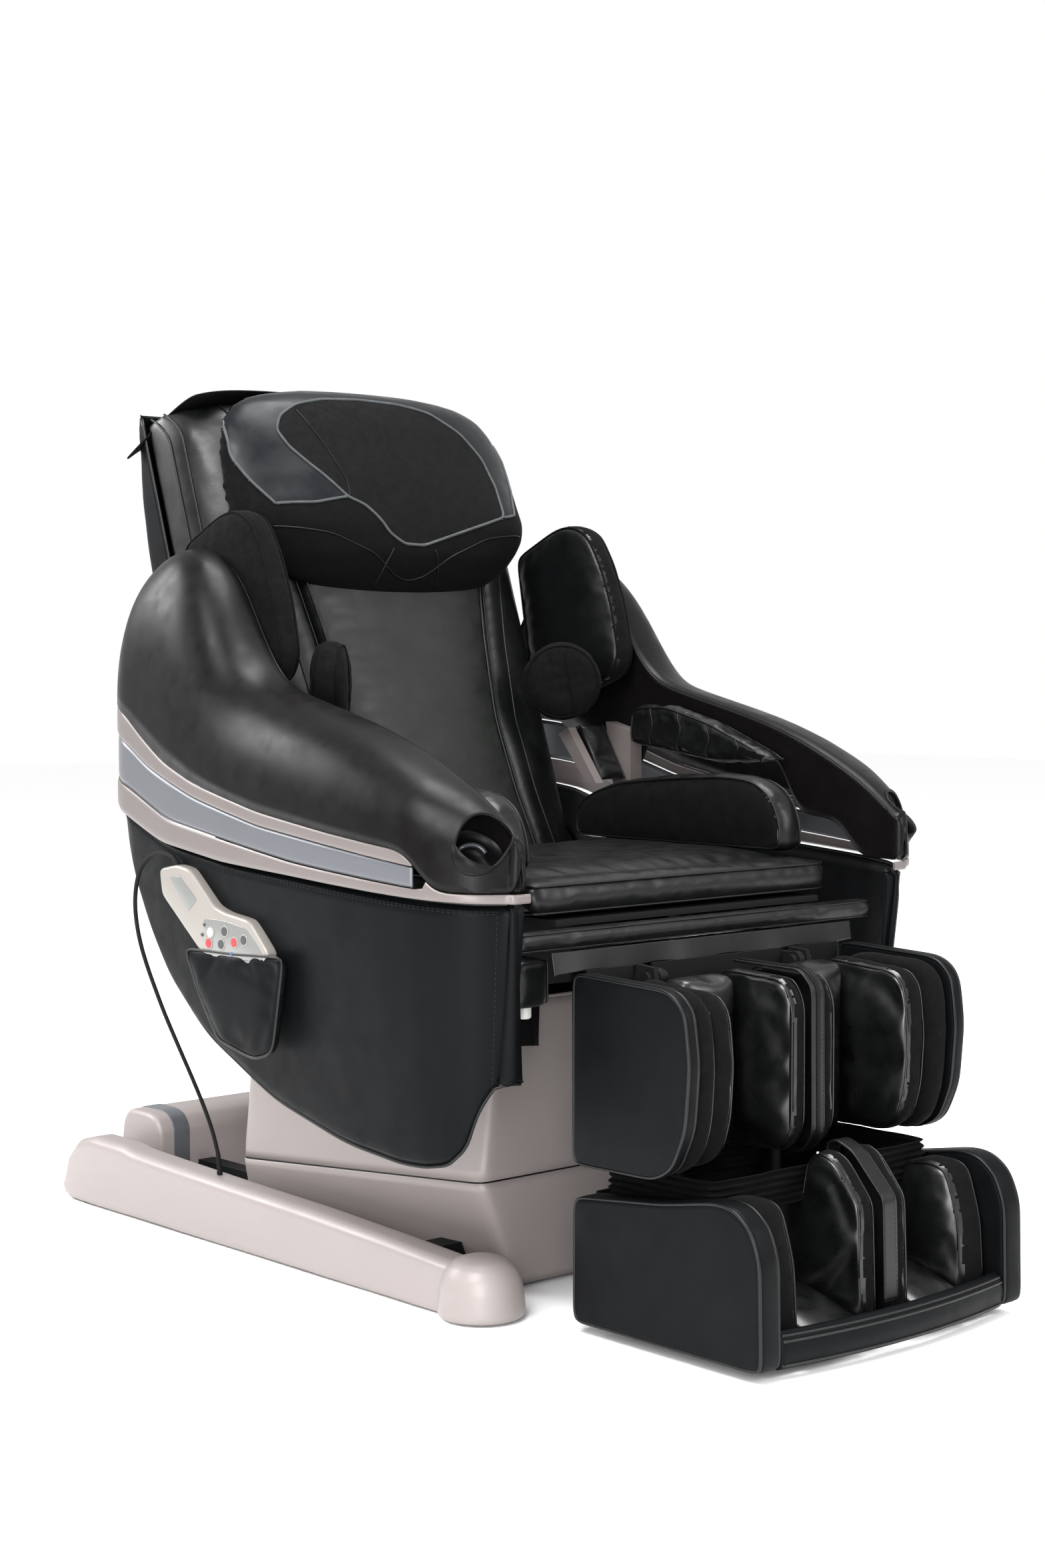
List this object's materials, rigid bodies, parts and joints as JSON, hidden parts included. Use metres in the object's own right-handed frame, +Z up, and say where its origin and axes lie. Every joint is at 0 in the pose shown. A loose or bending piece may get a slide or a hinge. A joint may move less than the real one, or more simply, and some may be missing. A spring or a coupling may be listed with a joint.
{
  "type": "massage chair",
  "caption": "Upholstered massage chair with a reclining back, roller carriage, lifting leg rest, sliding foot rest and a corded handset.",
  "frame": {"origin": "centre of the chair's bounding box, on the floor", "axes": "+Z up, the sitter faces -Y, +X is the sitter's left; +Y runs along the chair's length"},
  "size_m": [0.948, 1.45, 1.2671],
  "materials": {
    "taupe_plastic": "satin warm grey paint",
    "rubber_black": "matt",
    "steel_dark": "black powder coat",
    "leather_black": "smooth black synthetic leather",
    "leather_shell": "satin black synthetic leather, tight over the shell",
    "leather_panel": "grained black synthetic leather",
    "fabric_black": "black knitted fabric",
    "fabric_charcoal": "charcoal microfibre",
    "champagne": "champagne metallic satin",
    "blue_grey": "blue-grey metallic satin",
    "black_plastic": "black moulded plastic",
    "remote_silver": "champagne silver",
    "cord_black": "matt black sheath",
    "steel_bright": "machined",
    "motor_metal": "grey",
    "board_green": "solder mask",
    "roller_cream": "moulded",
    "key_red": "gloss",
    "key_white": "gloss",
    "key_dark": "gloss"
  },
  "bodies": {
    "base": {"floor_rails": "taupe_plastic", "floor_glides": "rubber_black", "rear_housing": "taupe_plastic", "base_cover_lower": "taupe_plastic", "base_cover_upper": "taupe_plastic", "base_frame": "steel_dark", "seat_frame": "steel_dark", "seat_cushion": "leather_black", "front_valance": "leather_black", "seat_skirts": "fabric_black", "arm_shell_left": "leather_shell", "arm_shell_right": "leather_shell", "trim_strips": "champagne", "trim_inlays": "blue_grey", "side_panel_left": "leather_panel", "side_panel_right": "leather_panel", "port_liners": "black_plastic", "forearm_pads": "leather_black", "hip_pads": "fabric_black", "side_struts": "champagne", "side_straps": "leather_black", "knee_blocks": "leather_black", "remote_pocket": "leather_panel", "remote_body": "remote_silver", "remote_cord": "cord_black", "power_inlet": "black_plastic", "air_pump": "motor_metal", "control_board": "board_green", "lift_motors": "motor_metal"},
    "backrest": {"back_frame": "steel_dark", "back_shell": "black_plastic", "back_bolsters": "leather_black", "back_pad": "fabric_charcoal", "head_pillow": "leather_black", "top_flap": "fabric_black", "shoulder_pads": "fabric_charcoal", "waist_pads": "fabric_charcoal"},
    "carriage": {"carriage": "steel_dark"},
    "knead_arm_left": {"knead_arm_left": "motor_metal"},
    "knead_arm_right": {"knead_arm_right": "motor_metal"},
    "roller_left_upper": {"roller_left_upper": "roller_cream"},
    "roller_left_lower": {"roller_left_lower": "roller_cream"},
    "roller_right_upper": {"roller_right_upper": "roller_cream"},
    "roller_right_lower": {"roller_right_lower": "roller_cream"},
    "leg_rest": {"calf_frame": "steel_dark", "calf_sides": "leather_panel", "calf_pads": "leather_black", "foot_bellows": "fabric_black"},
    "foot_rest": {"foot_frame": "steel_dark", "foot_shell": "leather_panel", "foot_pads": "leather_black"},
    "wheel_left": {"transport_wheel_left": "rubber_black"},
    "wheel_right": {"transport_wheel_right": "rubber_black"},
    "power_switch": {"power_switch": "black_plastic"},
    "button_red": {"button_red": "key_red"},
    "button_white": {"button_white": "key_white"},
    "button_oval_upper": {"button_oval_upper": "key_dark"},
    "button_oval_lower": {"button_oval_lower": "key_dark"},
    "button_oval_red": {"button_oval_red": "key_red"},
    "button_ring": {"button_ring": "key_dark"}
  },
  "joints": [
    {"name": "backrest_recline", "type": "hinge", "parent": "base", "child": "backrest", "pos_m": [0, 0.15, 0.43], "axis": [-1, 0, 0], "range_deg": [0, 45]},
    {"name": "leg_rest_lift", "type": "hinge", "parent": "base", "child": "leg_rest", "pos_m": [0, -0.426, 0.448], "axis": [-1, 0, 0], "range_deg": [0, 80]},
    {"name": "foot_rest_slide", "type": "slide", "parent": "leg_rest", "child": "foot_rest", "axis": [0, 0, -1], "range_m": [0, 0.12], "deforming": ["foot_bellows"]},
    {"name": "carriage_travel", "type": "slide", "parent": "backrest", "child": "carriage", "axis": [0, 0.3223, 0.9466], "range_m": [-0.14, 0.33]},
    {"name": "knead_left", "type": "hinge", "parent": "carriage", "child": "knead_arm_left", "pos_m": [0.062, 0.26248, 0.77115], "axis": [0, -0.9466, 0.3223], "range_deg": [-6, 6]},
    {"name": "knead_right", "type": "hinge", "parent": "carriage", "child": "knead_arm_right", "pos_m": [-0.062, 0.26248, 0.77115], "axis": [0, -0.9466, 0.3223], "range_deg": [-6, 6]},
    {"name": "roller_left_upper_spin", "type": "hinge", "parent": "knead_arm_left", "child": "roller_left_upper", "pos_m": [0.086, 0.28568, 0.83931], "axis": [1, 0, 0], "continuous": true},
    {"name": "roller_left_lower_spin", "type": "hinge", "parent": "knead_arm_left", "child": "roller_left_lower", "pos_m": [0.086, 0.23928, 0.70299], "axis": [1, 0, 0], "continuous": true},
    {"name": "roller_right_upper_spin", "type": "hinge", "parent": "knead_arm_right", "child": "roller_right_upper", "pos_m": [-0.086, 0.28568, 0.83931], "axis": [1, 0, 0], "continuous": true},
    {"name": "roller_right_lower_spin", "type": "hinge", "parent": "knead_arm_right", "child": "roller_right_lower", "pos_m": [-0.086, 0.23928, 0.70299], "axis": [1, 0, 0], "continuous": true},
    {"name": "wheel_left_spin", "type": "hinge", "parent": "base", "child": "wheel_left", "pos_m": [0.188, 0.644, 0.04], "axis": [1, 0, 0], "continuous": true},
    {"name": "wheel_right_spin", "type": "hinge", "parent": "base", "child": "wheel_right", "pos_m": [-0.188, 0.644, 0.04], "axis": [1, 0, 0], "continuous": true},
    {"name": "power_switch_rock", "type": "hinge", "parent": "base", "child": "power_switch", "pos_m": [0.034, 0.688, 0.073], "axis": [1, 0, 0], "range_deg": [-8, 8]},
    {"name": "button_red_press", "type": "slide", "parent": "base", "child": "button_red", "axis": [1, 0, 0], "range_m": [0, 0.0012], "stiffness_N_per_m": 300, "springref_m": -0.002},
    {"name": "button_white_press", "type": "slide", "parent": "base", "child": "button_white", "axis": [1, 0, 0], "range_m": [0, 0.0012], "stiffness_N_per_m": 300, "springref_m": -0.002},
    {"name": "button_oval_upper_press", "type": "slide", "parent": "base", "child": "button_oval_upper", "axis": [1, 0, 0], "range_m": [0, 0.0012], "stiffness_N_per_m": 300, "springref_m": -0.002},
    {"name": "button_oval_lower_press", "type": "slide", "parent": "base", "child": "button_oval_lower", "axis": [1, 0, 0], "range_m": [0, 0.0012], "stiffness_N_per_m": 300, "springref_m": -0.002},
    {"name": "button_oval_red_press", "type": "slide", "parent": "base", "child": "button_oval_red", "axis": [1, 0, 0], "range_m": [0, 0.0012], "stiffness_N_per_m": 300, "springref_m": -0.002},
    {"name": "button_ring_press", "type": "slide", "parent": "base", "child": "button_ring", "axis": [1, 0, 0], "range_m": [0, 0.0012], "stiffness_N_per_m": 300, "springref_m": -0.002}
  ],
  "couplings": [
    {"joint": "knead_right", "follows": "knead_left", "ratio": -1}
  ]
}
